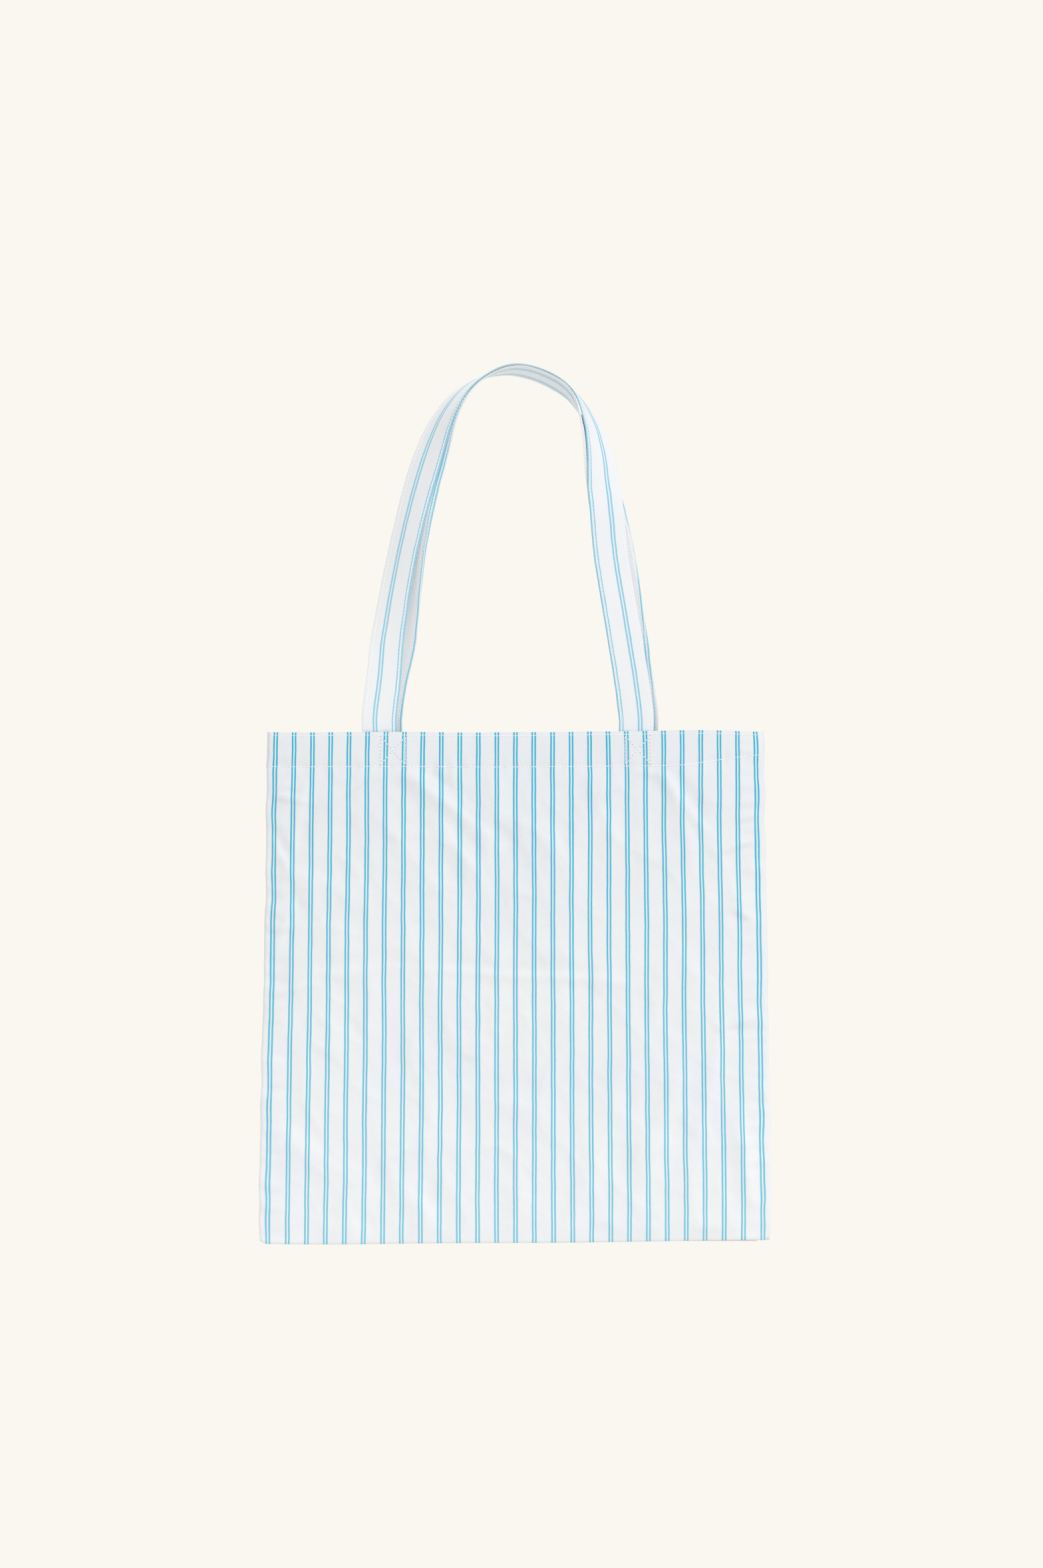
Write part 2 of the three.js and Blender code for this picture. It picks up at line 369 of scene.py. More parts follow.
# Shares: how far every crease stands out, how wide its steep side is beside its soft one, and how
# much of the free cloth's relief is left in the stiff hem.
CREASE_LIFT = 1.35
CREASE_STEEP = 0.42
HEM_RELIEF = 0.22
# Creases in each panel, in mm: start, end, half width and how far it stands out. A height is
# above the bottom seam. Each is steep on its left as one goes from its start to its end.
FRONT_CREASES = [
    ((-90, 372), (-22, 318), 8, 1.7),
    ((-78, 371), (-52, 352), 4, 0.9),
    ((-108, 371), (-150, 338), 7, 1.0),
    ((-60, 330), (-18, 270), 9, 0.8),
    ((112, 369), (150, 322), 6, 1.8),
    ((96, 369), (124, 366), 2.5, 1.1),
    ((124, 352), (140, 300), 8, 1.0),
    ((84, 368), (48, 330), 9, 0.8),
    ((-199, 352), (-168, 347), 3.5, 1.9),
    ((-166, 350), (-176, 300), 6, 1.1),
    ((-199, 330), (-180, 296), 4, 1.2),
    ((-176, 262), (-190, 226), 5, 1.0),
    ((-190, 300), (-120, 262), 12, 0.8),
    ((182, 384), (205, 380), 2.5, 1.2),
    ((196, 340), (176, 330), 3, 1.2),
    ((192, 318), (160, 305), 5, 1.2),
    ((197, 250), (168, 262), 5, 1.1),
    ((200, 180), (160, 168), 7, 1.1),
    ((-60, 214), (90, 204), 5, 0.7),
    ((-170, 208), (-90, 217), 6, 0.6),
    ((-196, 196), (-150, 204), 5, 0.8),
    ((100, 158), (60, 96), 9, 1.1),
    ((128, 128), (96, 30), 13, 1.9),
    ((160, 150), (140, 70), 11, 1.4),
    ((176, 100), (186, 24), 9, 1.3),
    ((66, 70), (40, 14), 12, 1.1),
    ((-40, 120), (30, 96), 12, 0.6),
    ((-180, 88), (-120, 40), 12, 0.8),
    ((-100, 60), (-60, 10), 10, 0.7),
    ((20, 330), (60, 262), 12, 0.7),
]
BACK_CREASES = [
    ((-88, 371), (-44, 330), 7, 1.6),
    ((106, 371), (150, 332), 7, 1.5),
    ((-196, 330), (-160, 318), 5, 1.3),
    ((196, 346), (168, 330), 5, 1.2),
    ((-120, 250), (-30, 230), 9, 0.9),
    ((40, 205), (150, 212), 7, 0.8),
    ((-150, 130), (-168, 20), 12, 1.8),
    ((-100, 90), (-112, 14), 12, 1.2),
    ((70, 120), (120, 60), 12, 1.1),
    ((196, 150), (160, 120), 7, 1.2),
    ((10, 320), (-30, 270), 12, 0.8),
]


def crease_height(x, height, creases):
    """How far the creases lift the cloth at a place, all in mm."""
    total = 0.0
    for (x0, h0), (x1, h1), width, lift in creases:
        dx, dh = x1 - x0, h1 - h0
        length = math.hypot(dx, dh)
        t = ((x - x0) * dx + (height - h0) * dh) / length**2
        if -0.3 < t < 1.3:
            bend = 0.5 * width * noise.noise((t * 2.2, x0, h0))
            d = ((x - x0) * dh - (height - h0) * dx) / length + bend
            slope = width if d > 0 else CREASE_STEEP * width
            hollow = math.exp(-(((d + 1.3 * width) / (0.9 * width)) ** 2))
            ridge = math.exp(-((d / slope) ** 2)) - 0.5 * hollow
            total += CREASE_LIFT * lift * ridge * smooth(t, -0.3, 0.15) * smooth(t, 1.3, 0.5)
    return total


def wrinkle(side, x, height):
    """How far the cloth stands out from its smooth form, in mm, at a place in mm.

    It has folds, crumples and creases, puckers along the seams, and gathers and grooves at the rows
    of stitches.
    """
    seed = 40.37 if side < 0 else 90.61
    top = HEIGHT / MM
    hem_foot = lower_row(side, x * MM) / MM
    swell = 1.6 * noise.noise((x / 120 + seed, height / 150, 0))
    fold = 1.0 - 2 * abs(noise.noise((x / 60 + seed, height / 76, 5)))
    small_fold = 1.0 - 2 * abs(noise.noise((x / 27 + height / 60, height / 36, seed)))
    crumple = 0.9 * noise.noise((x / 15, height / 21, seed))
    crumple += 0.3 * noise.noise((x / 6, height / 7, seed))
    crumple *= 0.8 + 1.4 * noise.noise((x / 70, height / 70, seed + 3))
    loose = smooth(height, hem_foot, hem_foot - 12)
    creases = crease_height(x, height, FRONT_CREASES if side < 0 else BACK_CREASES)
    cloth = swell + 1.1 * fold**3 + 0.5 * small_fold**3 + crumple + creases
    edge = half_width(height * MM) / MM - abs(x)
    inset = smooth(edge, 0, 16) * smooth(height, 0, 14)
    pucker = 1.3 * noise.noise((seed, height / 8, x / 50))
    pucker *= smooth(edge, 34, 6) * smooth(edge, 0, 4)
    gathers = 1.0 * noise.noise((x / 5, seed, height / 40)) * smooth(abs(height - hem_foot), 13, 1)
    stitched = 0.0
    for row in (top - UPPER_ROW / MM, hem_foot):
        groove = math.exp(-(((height - row) / 1.1) ** 2))
        stitched -= groove * (0.3 + 0.12 * noise.noise((x / 4, row, seed)))
    puff = 0.22 * smooth(height, hem_foot, hem_foot + 5) * smooth(height, top, top - 6)
    sag = 0.45 * noise.noise((x / 40, seed, height / 60))
    sag += 0.2 * noise.noise((x / 9, seed, height / 26))
    free = cloth * mix(HEM_RELIEF, 1.0, loose) + gathers
    return free * inset + pucker + stitched + (1 - loose) * sag + puff


def panel_point(side, x, height, inward=0.0):
    """A place on a panel's cloth: inward is its distance behind the outer face, in metres.

    The edges turn in to the seams. The bottom corners lift, and the bottom edge and the mouth sag.
    """
    half = half_width(height)
    across = x / half
    depth = outer_depth(across, height) + wrinkle(side, x / MM, height / MM) * MM - inward
    closing = quarter_round((half - abs(x)) / SEAM_TURN) * quarter_round(height / SEAM_TURN)
    depth = SEAM_SLIT + max(0.0, depth - SEAM_SLIT) * closing - 0.15 * inward * (1 - closing)
    corner = (5.5 if x > 0 else 2) * MM
    corner *= smooth(abs(x), half - 5 * MM, half) * smooth(height, 9 * MM, 0)
    hang = 2.2 * MM * smooth(x, 0.0, 0.2) - 0.6 * MM
    hang -= 1.2 * MM * math.exp(-(((x + 0.15) / 0.07) ** 2))
    top = 0.9 * MM * noise.noise((x / 0.09, 7.7 * side, 2.3)) * (1 - across**8)
    top += 1.2 * MM * math.exp(-(((x - 0.145) / 0.04) ** 2))
    rise = hang * smooth(height, 60 * MM, 0) + top * smooth(height, HEIGHT - 60 * MM, HEIGHT)
    sway = 0.9 * MM * noise.noise((x / 0.06, height / 0.07, 1.7)) * mix(0.3, 1.0, abs(across))
    edge_pucker = 1.1 * MM * noise.noise((height / 0.02, 5.4, math.copysign(3.3, x)))
    below_hem = smooth(height, HEIGHT - 30 * MM, HEIGHT - 44 * MM)
    edge_pucker += 1.1 * MM * below_hem * (1 - height / HEIGHT) ** 0.3
    edge_pucker *= smooth(abs(across), 0.93, 1) * smooth(height, 0, 20 * MM)
    sway += math.copysign(edge_pucker, x)
    return Vector((x + sway, side * depth, BOTTOM_Z + height + corner + rise))


def panel_rows():
    """Each row of the cut: its height and inward place, and its distance along the cloth."""
    roll = HEM_THICKNESS / 2
    straight = HEIGHT - roll
    count = round(straight / GRID_STEP)
    rows = [(straight * i / count, 0.0) for i in range(count + 1)]
    rows[1:1] = [(0.3 * MM, 0.0), (0.9 * MM, 0.0)]
    for angle in (30, 60, 90, 120, 150, 180):
        a = math.radians(angle)
        rows.append((straight + roll * math.sin(a), roll - roll * math.cos(a)))
    inner = round((HEM_DEPTH - roll) / (3 * MM))
    for i in range(1, inner + 1):
        rows.append((straight - (HEM_DEPTH - roll - 0.5 * MM) * i / inner, HEM_THICKNESS))
    rows.append((HEIGHT - HEM_DEPTH, HEM_THICKNESS - 0.35 * MM))
    along = [0.0]
    for (h0, i0), (h1, i1) in zip(rows, rows[1:]):
        along.append(along[-1] + math.hypot(h1 - h0, i1 - i0))
    return [(h, i, a) for (h, i), a in zip(rows, along)]


def panel_columns():
    """Shares of the half width, with close columns where the cloth turns in to the seams."""
    plain = round((HALF_BOTTOM - SEAM_TURN) / GRID_STEP)
    last = 1 - SEAM_TURN / HALF_BOTTOM
    shares = [last * i / plain for i in range(plain + 1)]
    shares += [mix(last, 1, t) for t in (0.25, 0.5, 0.72, 0.88, 0.96, 1.0)]
    return [-share for share in reversed(shares[1:])] + shares


def whole_panel(side):
    """A panel in one piece. Its layer keeps each vertex's normal for when the panel is parted."""
    rows, columns = panel_rows(), panel_columns()
    bm = bmesh.new()
    bmesh.ops.create_grid(bm, x_segments=len(columns) - 1, y_segments=len(rows) - 1, size=1)
    cut = bm.loops.layers.uv.new("cut")
    places = {}
    for v in bm.verts:
        column = columns[round((v.co.x + 1) / 2 * (len(columns) - 1))]
        height, inward, along = rows[round((v.co.y + 1) / 2 * (len(rows) - 1))]
        places[v] = (column * HALF_BOTTOM + HALF_BOTTOM - FIRST_PAIR, along)
        v.co = panel_point(side, column * half_width(height), height, inward)
    for face in bm.faces:
        for loop in face.loops:
            loop[cut].uv = places[loop.vert]
    if side > 0:
        bmesh.ops.reverse_faces(bm, faces=bm.faces)
    bm.normal_update()
    bmesh.ops.solidify(bm, geom=bm.faces[:], thickness=CLOTH)
    bm.normal_update()
    kept = bm.verts.layers.float_vector.new("kept normal")
    for v in bm.verts:
        v[kept] = v.normal
    return bm


def part_panel(whole, hand):
    """Half a panel and its vertices' normals, which match the other half's at the parting."""
    bm = whole.copy()
    other = [f for f in bm.faces if f.calc_center_median().x * hand < 0]
    bmesh.ops.delete(bm, geom=other, context="FACES")
    bmesh.ops.holes_fill(bm, edges=[e for e in bm.edges if e.is_boundary])
    kept = bm.verts.layers.float_vector["kept normal"]
    return bm, [v[kept].copy() for v in bm.verts]


for side_name, side in SIDES:
    whole = whole_panel(side)
    for hand_name, hand in HANDS:
        half, normals = part_panel(whole, hand)
        piece = finish_piece(half, f"{side_name}_panel_{hand_name}", [canvas])
        piece.data.normals_split_custom_set_from_vertices(normals)
        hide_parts(f"{side_name}_panel")
        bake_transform(piece)
    whole.free()

# ---- Straps ----
# Two straps folded from the same canvas, 27 mm wide, edge-stitched along both sides. Each is one
# length: a sewn end inside the hem, the free loop, and the other end. The loop twists from facing
# front at the hem to lie on its side over the hook, with the back strap nested inside the front.
STRAP_WIDTH = 27 * MM
STRAP_THICKNESS = 1.25 * MM
STITCH_INSET = 2.5 * MM
HEM_TOP = BOTTOM_Z + HEIGHT
LOOP_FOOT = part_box("front_handle")[0].z
HANDLE_RISE = 284 * MM
STRAP_SPACING = 201 * MM
ARCH_SHIFT = -4 * MM
HANDLE_STAGGER = 2 * MM
BOX_SPACING = 191 * MM
STRAP_DEPTH = HEM_THICKNESS + 1.1 * MM
NEST = 0.68 * MM
LEFT_LEG_TURN = 30
ARCH_TURN = 106
RIGHT_LEG_TURN = 6
RIGHT_SHOULDER = {-1: (0.5, 0.76), 1: (0.55, 0.745)}
HANDLE_LINE = [
    (-1, 0),
    (-1, 0.04),
    (-0.915, 0.24),
    (-0.79, 0.525),
    (-0.645, 0.732),
    (-0.46, 0.898),
    (-0.27, 0.968),
    (-0.01, 1),
    (0.26, 0.982),
    (0.47, 0.937),
    (0.6, 0.856),
    (0.67, 0.78),
    (0.74, 0.644),
    (0.815, 0.477),
    (0.92, 0.24),
    (1, 0.04),
    (1, 0),
]
# How far the back strap shows beyond the front one, towards the loop's inside, in mm.
PEEK = [
    (0, 0),
    (0.05, 0),
    (0.12, 4.7),
    (0.24, 4.8),
    (0.35, 4),
    (0.42, 2),
    (0.48, -1),
    (0.54, 0),
    (0.58, 3),
    (0.62, 3.6),
    (0.66, 2.4),
    (0.7, 0),
    (0.79, -5),
    (0.96, -0.8),
    (1, 0),
]
LOOP_STEPS = 240
END_STEPS = 16
FACE_COLUMNS = 26


def handle_points():
    """Points on the pair's middle line, a centripetal Catmull-Rom curve, and their distances."""
    top = HEM_TOP + HANDLE_RISE
    knots = [
        Vector((ARCH_SHIFT + across * STRAP_SPACING / 2, 0, mix(LOOP_FOOT, top, rise)))
        for across, rise in HANDLE_LINE
    ]
    knots = [2 * knots[0] - knots[1]] + knots + [2 * knots[-1] - knots[-2]]
    points = []
    for a, b, c, d in zip(knots, knots[1:], knots[2:], knots[3:]):
        ab, bc, cd = (b - a).length ** 0.5, (c - b).length ** 0.5, (d - c).length ** 0.5
        leaving = ((b - a) / ab - (c - a) / (ab + bc) + (c - b) / bc) * bc
        arriving = ((c - b) / bc - (d - b) / (bc + cd) + (d - c) / cd) * bc
        for i in range(24):
            t = i / 24
            square = 3 * (c - b) - 2 * leaving - arriving
            cube = 2 * (b - c) + leaving + arriving
            points.append(b + leaving * t + square * t**2 + cube * t**3)
    points.append(knots[-2])
    lengths = [0.0]
    for p, q in zip(points, points[1:]):
        lengths.append(lengths[-1] + (q - p).length)
    return points, lengths


line_points, line_lengths = handle_points()


def on_line(along):
    """The place and direction of the pair's middle line at a share of its length."""
    wanted = along * line_lengths[-1]
    i = min(len(line_lengths) - 1, max(1, bisect.bisect_left(line_lengths, wanted)))
    p, q = line_points[i - 1], line_points[i]
    t = (wanted - line_lengths[i - 1]) / (line_lengths[i] - line_lengths[i - 1])
    before, after = line_points[max(0, i - 3)], line_points[min(len(line_points) - 1, i + 2)]
    return p.lerp(q, t), (after - before).normalized()


def twist(side, along):
    """How far a strap is turned from facing front. The front one turns back sooner at the right."""
    left_leg = LEFT_LEG_TURN * smooth(along, 0, 0.22)
    left_shoulder = (ARCH_TURN - LEFT_LEG_TURN) * smooth(along, 0.32, 0.535)
    right_shoulder = (RIGHT_LEG_TURN - ARCH_TURN) * smooth(along, *RIGHT_SHOULDER[side])
    right_leg = -RIGHT_LEG_TURN * smooth(along, 0.78, 1)
    return math.radians(left_leg + left_shoulder + right_shoulder + right_leg)


def peek(along):
    for (a, shift_a), (b, shift_b) in zip(PEEK, PEEK[1:]):
        if along <= b:
            return mix(shift_a, shift_b, smooth(along, a, b)) * MM
    return 0.0


def strap_frame(side, along):
    """On a strap: the middle, the direction across it, and the direction through it to the back."""
    place, tangent = on_line(along)
    inward = Vector((tangent.z, 0, -tangent.x))
    back = Vector((0, 1, 0))
    turn = twist(side, along)
    across = inward * math.cos(turn) - back * math.sin(turn)
    through = inward * math.sin(turn) + back * math.cos(turn)
    shared = (twist(-1, along) + twist(1, along)) / 2
    apart = inward * math.sin(shared) + back * math.cos(shared)
    splay = STRAP_WIDTH / 2 * math.sin(abs(turn - shared))
    foot = 1 - smooth(min(along, 1 - along), 0, 0.3)
    at_hem = outer_depth(STRAP_SPACING / 2 / HALF_TOP, HEIGHT) - STRAP_DEPTH
    place = place + apart * side * (mix(NEST, at_hem, foot) + splay)
    place += across * side * peek(along) / 2
    place.x += side * HANDLE_STAGGER * foot
    return place, across, through


def strap_end_frame(side, hand, rise):
    """The same on a sewn end: rise goes from 0 at the box of stitches' foot to 1 at the hem top."""
    at_foot = hand * BOX_SPACING / 2
    at_top = ARCH_SHIFT + hand * STRAP_SPACING / 2 + side * HANDLE_STAGGER
    x = mix(at_foot, at_top, smooth(rise, 0.1, 1))
    depth = outer_depth(x / HALF_TOP, HEIGHT) - STRAP_DEPTH
    place = Vector((x, side * depth, mix(HEM_TOP - HEM_DEPTH + MM, LOOP_FOOT, rise)))
    return place, Vector((-hand, 0, 0)), Vector((0, 1, 0))


def strap_stations(side):
    """The strap from end to end: its frames, and the distance along it up to each."""
    left = [strap_end_frame(side, -1, i / END_STEPS) for i in range(END_STEPS)]
    loop = [strap_frame(side, i / LOOP_STEPS) for i in range(LOOP_STEPS + 1)]
    right = [strap_end_frame(side, 1, 1 - i / END_STEPS) for i in range(1, END_STEPS + 1)]
    stations = left + loop + right
    along = [0.0]
    for (p, _, _), (q, _, _) in zip(stations, stations[1:]):
        along.append(along[-1] + (q - p).length)
    return stations, along


def half_thickness(wide, along):
    """Half the strap's thickness across it: full between the rows, and pinched under them."""
    reach = abs(wide) / (STRAP_WIDTH / 2)
    body = STRAP_THICKNESS / 2 * (1 - min(1.0, reach) ** 20) ** 0.5
    pinch = math.exp(-(((abs(wide) - (STRAP_WIDTH / 2 - STITCH_INSET)) / (0.9 * MM)) ** 2))
    pinch *= 0.3 + 0.12 * noise.noise((along / 0.004, wide / 0.01, 8))
    puff = 0.14 * math.cos(min(1.0, reach) * math.pi / 2)
    puff += 0.12 * noise.noise((along / 0.03, wide / 0.012, 3))
    puff += 0.08 * noise.noise((along / 0.009, wide / 0.006, 6))
    return body * (1 - pinch + puff)


def strap_point(side, station, along, wide, face):
    """A place on a strap's face. Wide grows towards the loop's inner edge; face 1 is its back."""
    place, across, through = station
    wave = 0.5 * MM * noise.noise((along / 0.05, 5, 1)) * (wide / STRAP_WIDTH) * 2
    wave += 0.22 * MM * noise.noise((along / 0.018, 3, wide / 0.01))
    edge = 0.5 * MM * noise.noise((along / 0.028, side, math.copysign(4, wide)))
    edge += 0.14 * MM * noise.noise((along / 0.006, side, math.copysign(4, wide)))
    edge *= (wide / STRAP_WIDTH) ** 2 * 4
    deep = face * half_thickness(wide, along) + wave
    return place + across * (wide + math.copysign(edge, wide)) + through * deep


def first_pair(side, face, share):
    """From a strap's inner edge to the middle of the first pair of lines on one of its faces."""
    if side < 0:
        return (2.1 if face < 0 else 1.2) * MM
    drift = 0.4 + 9.2 * smooth(share, 0.1, 0.8)
    drift += 4.6 * smooth(share, 0.5, 0.75) - 5.6 * smooth(share, 0.74, 0.95)
    return (drift if face < 0 else 6.8) * MM


def strap_mesh(side):
    stations, along = strap_stations(side)
    turns = [(i / FACE_COLUMNS - 0.5) * math.pi for i in range(FACE_COLUMNS + 1)]
    columns = [STRAP_WIDTH / 2 * math.sin(turn) for turn in turns]
    around = [(wide, -1) for wide in columns] + [(wide, 1) for wide in reversed(columns)][1:]
    bm = bmesh.new()
    bmesh.ops.create_grid(bm, x_segments=len(around) - 1, y_segments=len(stations) - 1, size=1)
    cut = bm.loops.layers.uv.new("cut")
    marks = {}
    for v in bm.verts:
        column = round((v.co.x + 1) / 2 * (len(around) - 1))
        row = round((v.co.y + 1) / 2 * (len(stations) - 1))
        marks[v] = (column, along[row])
        v.co = strap_point(side, stations[row], along[row], *around[column])
    for f in bm.faces:
        face = 1 if min(marks[loop.vert][0] for loop in f.loops) >= FACE_COLUMNS else -1
        for loop in f.loops:
            column, distance = marks[loop.vert]
            from_inner = STRAP_WIDTH / 2 - around[column][0]
            loop[cut].uv = (from_inner - first_pair(side, face, distance / along[-1]), distance)
    bmesh.ops.remove_doubles(bm, verts=bm.verts, dist=1e-6)
    bmesh.ops.holes_fill(bm, edges=[e for e in bm.edges if e.is_boundary])
    bmesh.ops.recalc_face_normals(bm, faces=bm.faces)
    return bm


strap_canvas = striped_canvas(
    "folded cotton canvas strap", 1900, -700, line_strength=0.62, relief_strength=0.08
)
for side_name, side in SIDES:
    piece = finish_piece(strap_mesh(side), f"{side_name}_strap", [strap_canvas])
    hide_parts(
        f"{side_name}_handle", f"{side_name}_left_strap_end", f"{side_name}_right_strap_end"
    )
    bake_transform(piece)

# ---- Sewing thread ----
# White spun polyester, lock-stitched: two rows along the hem, two along each strap, and a box
# with an X at each strap end. The thread of a row lies on the cloth and dives into it at every
# needle hole. On the hem and the boxes a small grey disc of painted shade lies over each hole.
STITCH_PITCH = 2.8 * MM
THREAD_RADIUS = 0.24 * MM
# Radii of the grey discs laid over the needle holes as painted shade, and their lift off the cloth.
BOX_HOLE_SHADE_RADIUS = 0.4 * MM
ROW_HOLE_SHADE_RADIUS = 0.24 * MM
HOLE_LIFT = 0.05 * MM
BOX_HALF_WIDTH = 9.7 * MM
BOX_GAP = 1.4 * MM
ROW_END = HALF_TOP - 2 * MM
THREAD_WHITE = "#FAFAF9"
HOLE_SHADE = "#8795A0"
STITCH_PROFILE = [(0.0, -0.5), (0.1, 0.0), (0.28, 0.16), (0.5, 0.2), (0.72, 0.16), (0.9, 0.0)]

thread = new_material("spun polyester thread")
place_in_thread = add_node(thread.node_tree, "ShaderNodeTexCoord")
plies = add_node(
    thread.node_tree,
    "ShaderNodeTexNoise",
    inputs={"Vector": place_in_thread.outputs["Object"], "Scale": 2600.0, "Detail": 1.0},
)
ply_bump = add_node(
    thread.node_tree,
    "ShaderNodeBump",
    inputs={"Strength": 0.4, "Distance": 0.05 * MM, "Height": plies.outputs["Fac"]},
)
thread_fibre = add_node(
    thread.node_tree,
    "ShaderNodeBsdfPrincipled",
    inputs={
        "Base Color": linear(THREAD_WHITE),
        "Roughness": 0.6,
        "Sheen Weight": 0.2,
        "Normal": ply_bump.outputs[0],
    },
)
add_node(thread.node_tree, "ShaderNodeOutputMaterial", inputs={"Surface": thread_fibre.outputs[0]})

# A flat grey material for the discs over the needle holes: painted shade, the shadow in each hole.
needle_hole_shade = new_material("needle hole in shade")
shade = add_node(
    needle_hole_shade.node_tree, "ShaderNodeBsdfDiffuse", inputs={"Color": linear(HOLE_SHADE)}
)
add_node(needle_hole_shade.node_tree, "ShaderNodeOutputMaterial", inputs={"Surface": shade.outputs[0]})


def add_row(bm, holes, surface, length, shade_disc_radius):
    """A row of stitches. Surface gives the cloth's place and normal at a distance along the row."""
    count = max(1, round(length / STITCH_PITCH))
    marks = [((i + t) * length / count, lift) for i in range(count) for t, lift in STITCH_PROFILE]
    marks.append((length, STITCH_PROFILE[0][1]))
    rings = [surface(distance) for distance, _ in marks]
    made = bmesh.ops.create_grid(bm, x_segments=6, y_segments=len(rings) - 1, size=1)["verts"]
    for v in made:
        turn = (v.co.x + 1) * math.pi
        row = round((v.co.y + 1) / 2 * (len(rings) - 1))
        place, normal = rings[row]
        run = rings[min(row + 1, len(rings) - 1)][0] - rings[max(row - 1, 0)][0]
        sideways = normal.cross(run).normalized()
        ring = sideways * math.cos(turn) + normal * math.sin(turn)
        v.co = place + normal * marks[row][1] * MM + ring * THREAD_RADIUS
    bmesh.ops.remove_doubles(bm, verts=made, dist=1e-7)
    # Each needle hole gets a flat grey disc just above the cloth: painted shade for the shadow in
    # the hole.
    for i in range(count + 1 if shade_disc_radius else 0):
        place, normal = rings[i * len(STITCH_PROFILE)]
        facing = normal.to_track_quat("Z", "Y").to_matrix().to_4x4()
        lie = Matrix.Translation(place + normal * HOLE_LIFT) @ facing
        bmesh.ops.create_circle(holes, cap_ends=True, segments=8, radius=shade_disc_radius, matrix=lie)


def stitched_piece(name, rows, shade_disc_radius=0):
    """One piece from several rows, each a surface and a length. Grey discs of painted shade may lie
    over its needle holes.
    """
    bm, holes = bmesh.new(), bmesh.new()
    for surface, length in rows:
        add_row(bm, holes, surface, length, shade_disc_radius)
    bmesh.ops.holes_fill(bm, edges=[e for e in bm.edges if e.is_boundary])
    bmesh.ops.recalc_face_normals(bm, faces=bm.faces)
    for face in holes.faces:
        face.material_index = 1
    hole_shade_mesh = bpy.data.meshes.new(f"{name}_holes")
    holes.to_mesh(hole_shade_mesh)
    holes.free()
    bm.from_mesh(hole_shade_mesh)
    bpy.data.meshes.remove(hole_shade_mesh)
    return finish_piece(bm, name, [thread, needle_hole_shade])


def on_panel(side, start, end):
    """A row on a panel, straight on its flat cut, between two places as (x, height)."""
    start, end = Vector((*start, 0)), Vector((*end, 0))
    length = (end - start).length

    def surface(distance):
        flat = start.lerp(end, distance / length)
        step = 0.5 * MM
        place = panel_point(side, flat.x, flat.y)
        over = panel_point(side, flat.x + step, flat.y) - place
        up = panel_point(side, flat.x, flat.y + step) - place
        return place, (over.cross(up) * -side).normalized()

    return surface, length


def on_lower_row(side, hand):
    """The hem's lower row on one half of a panel, from the middle to the seam."""

    def surface(distance):
        x = hand * distance
        height = lower_row(side, x)
        return on_panel(side, (x, height), (x + MM, height))[0](0)

    return surface, ROW_END


for side_name, side in SIDES:
    upper = HEIGHT - UPPER_ROW
    for hand_name, hand in HANDS:
        top_row = on_panel(side, (0, upper), (hand * ROW_END, upper))
        both = [top_row, on_lower_row(side, hand)]
        piece = stitched_piece(f"{side_name}_hem_stitches_{hand_name}", both, ROW_HOLE_SHADE_RADIUS)
        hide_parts(f"{side_name}_hem_stitch_upper", f"{side_name}_hem_stitch_lower")
        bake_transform(piece)

    rows = []
    for hand in (-1, 1):
        middle = hand * BOX_SPACING / 2
        left, right = middle - BOX_HALF_WIDTH, middle + BOX_HALF_WIDTH
        foot, top = HEIGHT - LOWER_ROW + BOX_GAP, upper - BOX_GAP
        rows.append(on_panel(side, (left, foot), (left, top)))
        rows.append(on_panel(side, (right, foot), (right, top)))
        rows.append(on_panel(side, (left, foot), (right, top)))
        rows.append(on_panel(side, (left, top), (right, foot)))
    piece = stitched_piece(f"{side_name}_box_stitches", rows, BOX_HOLE_SHADE_RADIUS)
    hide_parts(f"{side_name}_left_box_stitch", f"{side_name}_right_box_stitch")
    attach(piece, f"{side_name}_body")


def on_strap(side, wide, face):
    """A row along a whole strap, on one of its faces."""
    stations, along = strap_stations(side)

    def surface(distance):
        i = min(len(along) - 1, max(1, bisect.bisect_left(along, distance)))
        t = (distance - along[i - 1]) / (along[i] - along[i - 1])
        before = strap_point(side, stations[i - 1], along[i - 1], wide, face)
        after = strap_point(side, stations[i], along[i], wide, face)
        return before.lerp(after, t), stations[i][2] * face

    return surface, along[-1]


for side_name, side in SIDES:
    row_place = STRAP_WIDTH / 2 - STITCH_INSET
    rows = [on_strap(side, edge * row_place, face) for edge in (-1, 1) for face in (-1, 1)]
    piece = stitched_piece(f"{side_name}_strap_stitches", rows)
    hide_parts(f"{side_name}_handle_stitch_outer", f"{side_name}_handle_stitch_inner")
    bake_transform(piece)

# ---- Seam allowances ----
# Inside the bag, both panels' edges are overlocked together: two cloths, with the thread looped
# over the raw edge. They stand between the panels, 10 mm wide, at both sides and at the bottom.
SEAM_INSET = 1.0 * MM
SEAM_THICKNESS = 1.0 * MM
SEAM_STEPS = 120
OVERLOCK_PITCH = 2.4 * MM
OVERLOCK_INNER = SEAM_WIDTH - 5 * MM
OVERLOCK_OUTER = SEAM_WIDTH - 1 * MM
OVERLOCK_DEPTH = 0.6 * MM


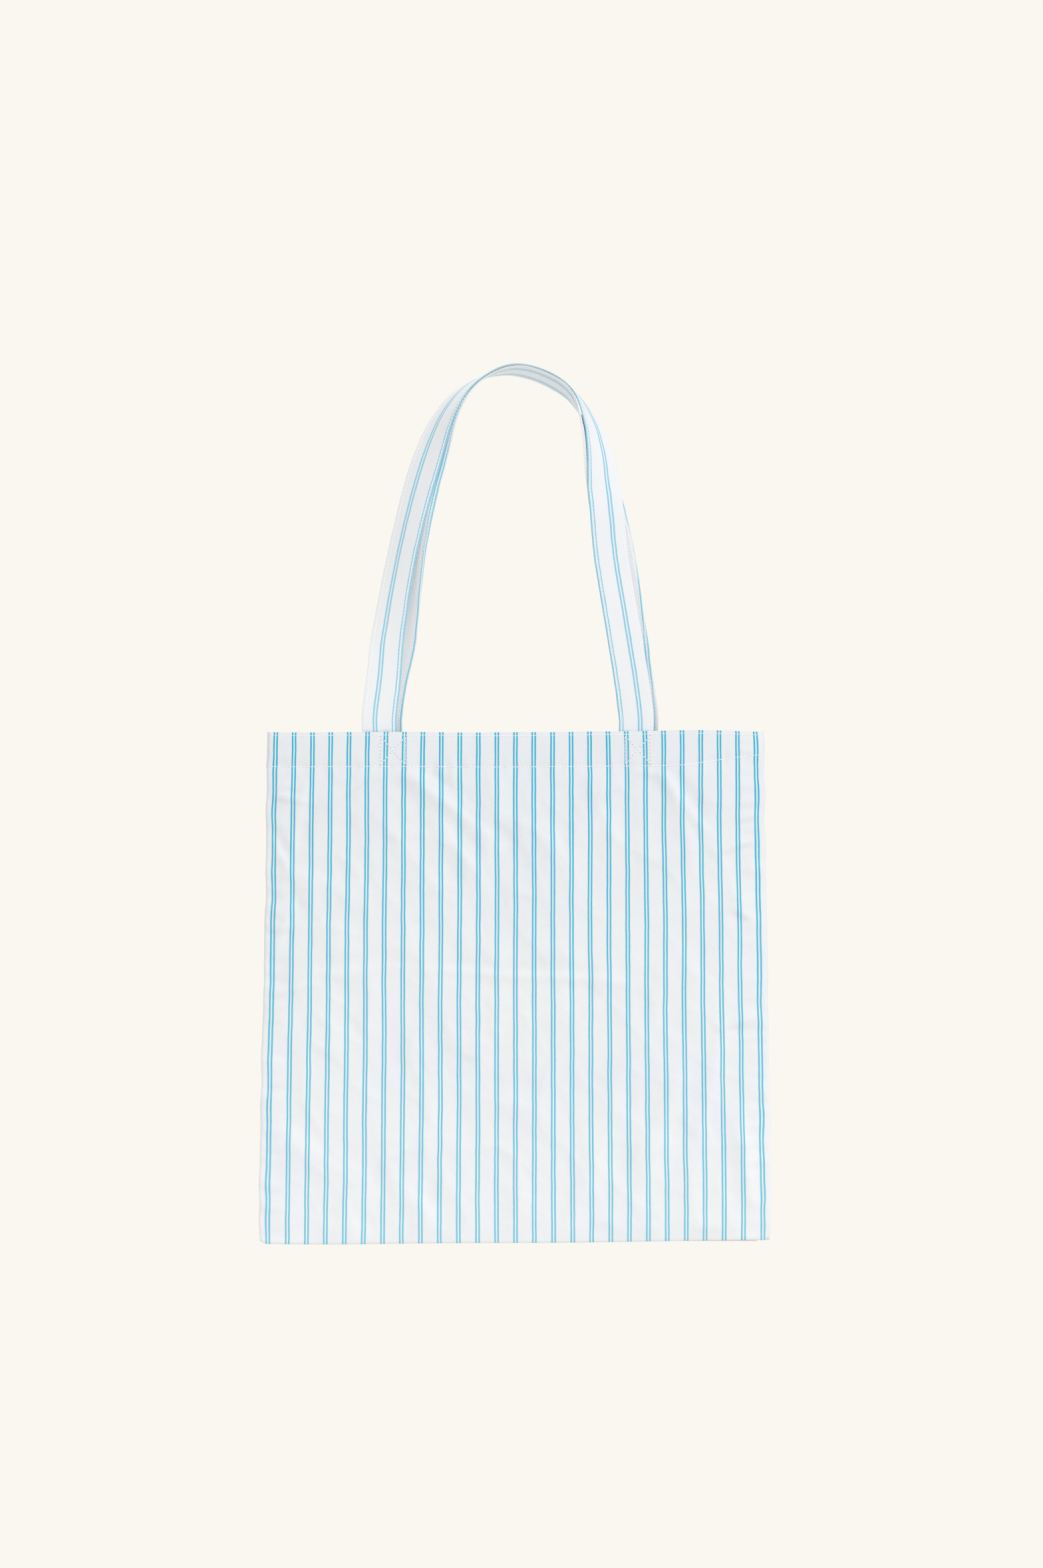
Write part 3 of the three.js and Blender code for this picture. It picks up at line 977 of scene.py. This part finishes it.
def seam_place(name, run, inward):
    """A place on a seam's middle plane: run goes along it from 0 to 1, inward from the edge."""
    if name == "bottom_seam":
        x = mix(-1, 1, run) * (half_width(0) - SEAM_WIDTH - SEAM_INSET)
        return Vector((x, 0, BOTTOM_Z + SEAM_INSET + inward))
    hand = -1 if name == "left_seam" else 1
    height = mix(2 * MM, HEIGHT - 1 * MM, run)
    return Vector((hand * (half_width(height) - SEAM_INSET - inward), 0, BOTTOM_Z + height))


def seam_loops(name, face):
    """The overlock thread on one face of a seam: it runs to and fro over the raw edge."""
    span = (seam_place(name, 1, 0) - seam_place(name, 0, 0)).length
    turns = round(span / OVERLOCK_PITCH)
    length = turns * (OVERLOCK_OUTER - OVERLOCK_INNER)

    def surface(distance):
        share = distance / length
        swing = abs(share * turns / 2 % 1 * 2 - 1)
        place = seam_place(name, share, mix(OVERLOCK_INNER, OVERLOCK_OUTER, swing))
        return place + Vector((0, face * OVERLOCK_DEPTH, 0)), Vector((0, face, 0))

    return surface, length


for name in ("left_seam", "right_seam", "bottom_seam"):
    bm = bmesh.new()
    bmesh.ops.create_grid(bm, x_segments=4, y_segments=SEAM_STEPS, size=1)
    cut = bm.loops.layers.uv.new("cut")
    places = {}
    for v in bm.verts:
        inward, run = (v.co.x + 1) / 2, (v.co.y + 1) / 2
        places[v] = (inward * SEAM_WIDTH + 4 * MM, run * HEIGHT)
        v.co = seam_place(name, run, inward * (SEAM_WIDTH - 1.5 * MM))
        v.co.y = -SEAM_THICKNESS / 2
    for face in bm.faces:
        for loop in face.loops:
            loop[cut].uv = places[loop.vert]
    bmesh.ops.recalc_face_normals(bm, faces=bm.faces)
    bm.normal_update()
    if bm.faces[:][0].normal.y > 0:
        bmesh.ops.reverse_faces(bm, faces=bm.faces)
    bmesh.ops.solidify(bm, geom=bm.faces[:], thickness=SEAM_THICKNESS)
    piece = finish_piece(bm, f"{name}_allowance", [canvas])
    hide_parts(name)
    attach(piece, "seams")

    piece = stitched_piece(f"{name}_overlock", [seam_loops(name, -1), seam_loops(name, 1)])
    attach(piece, "seams")
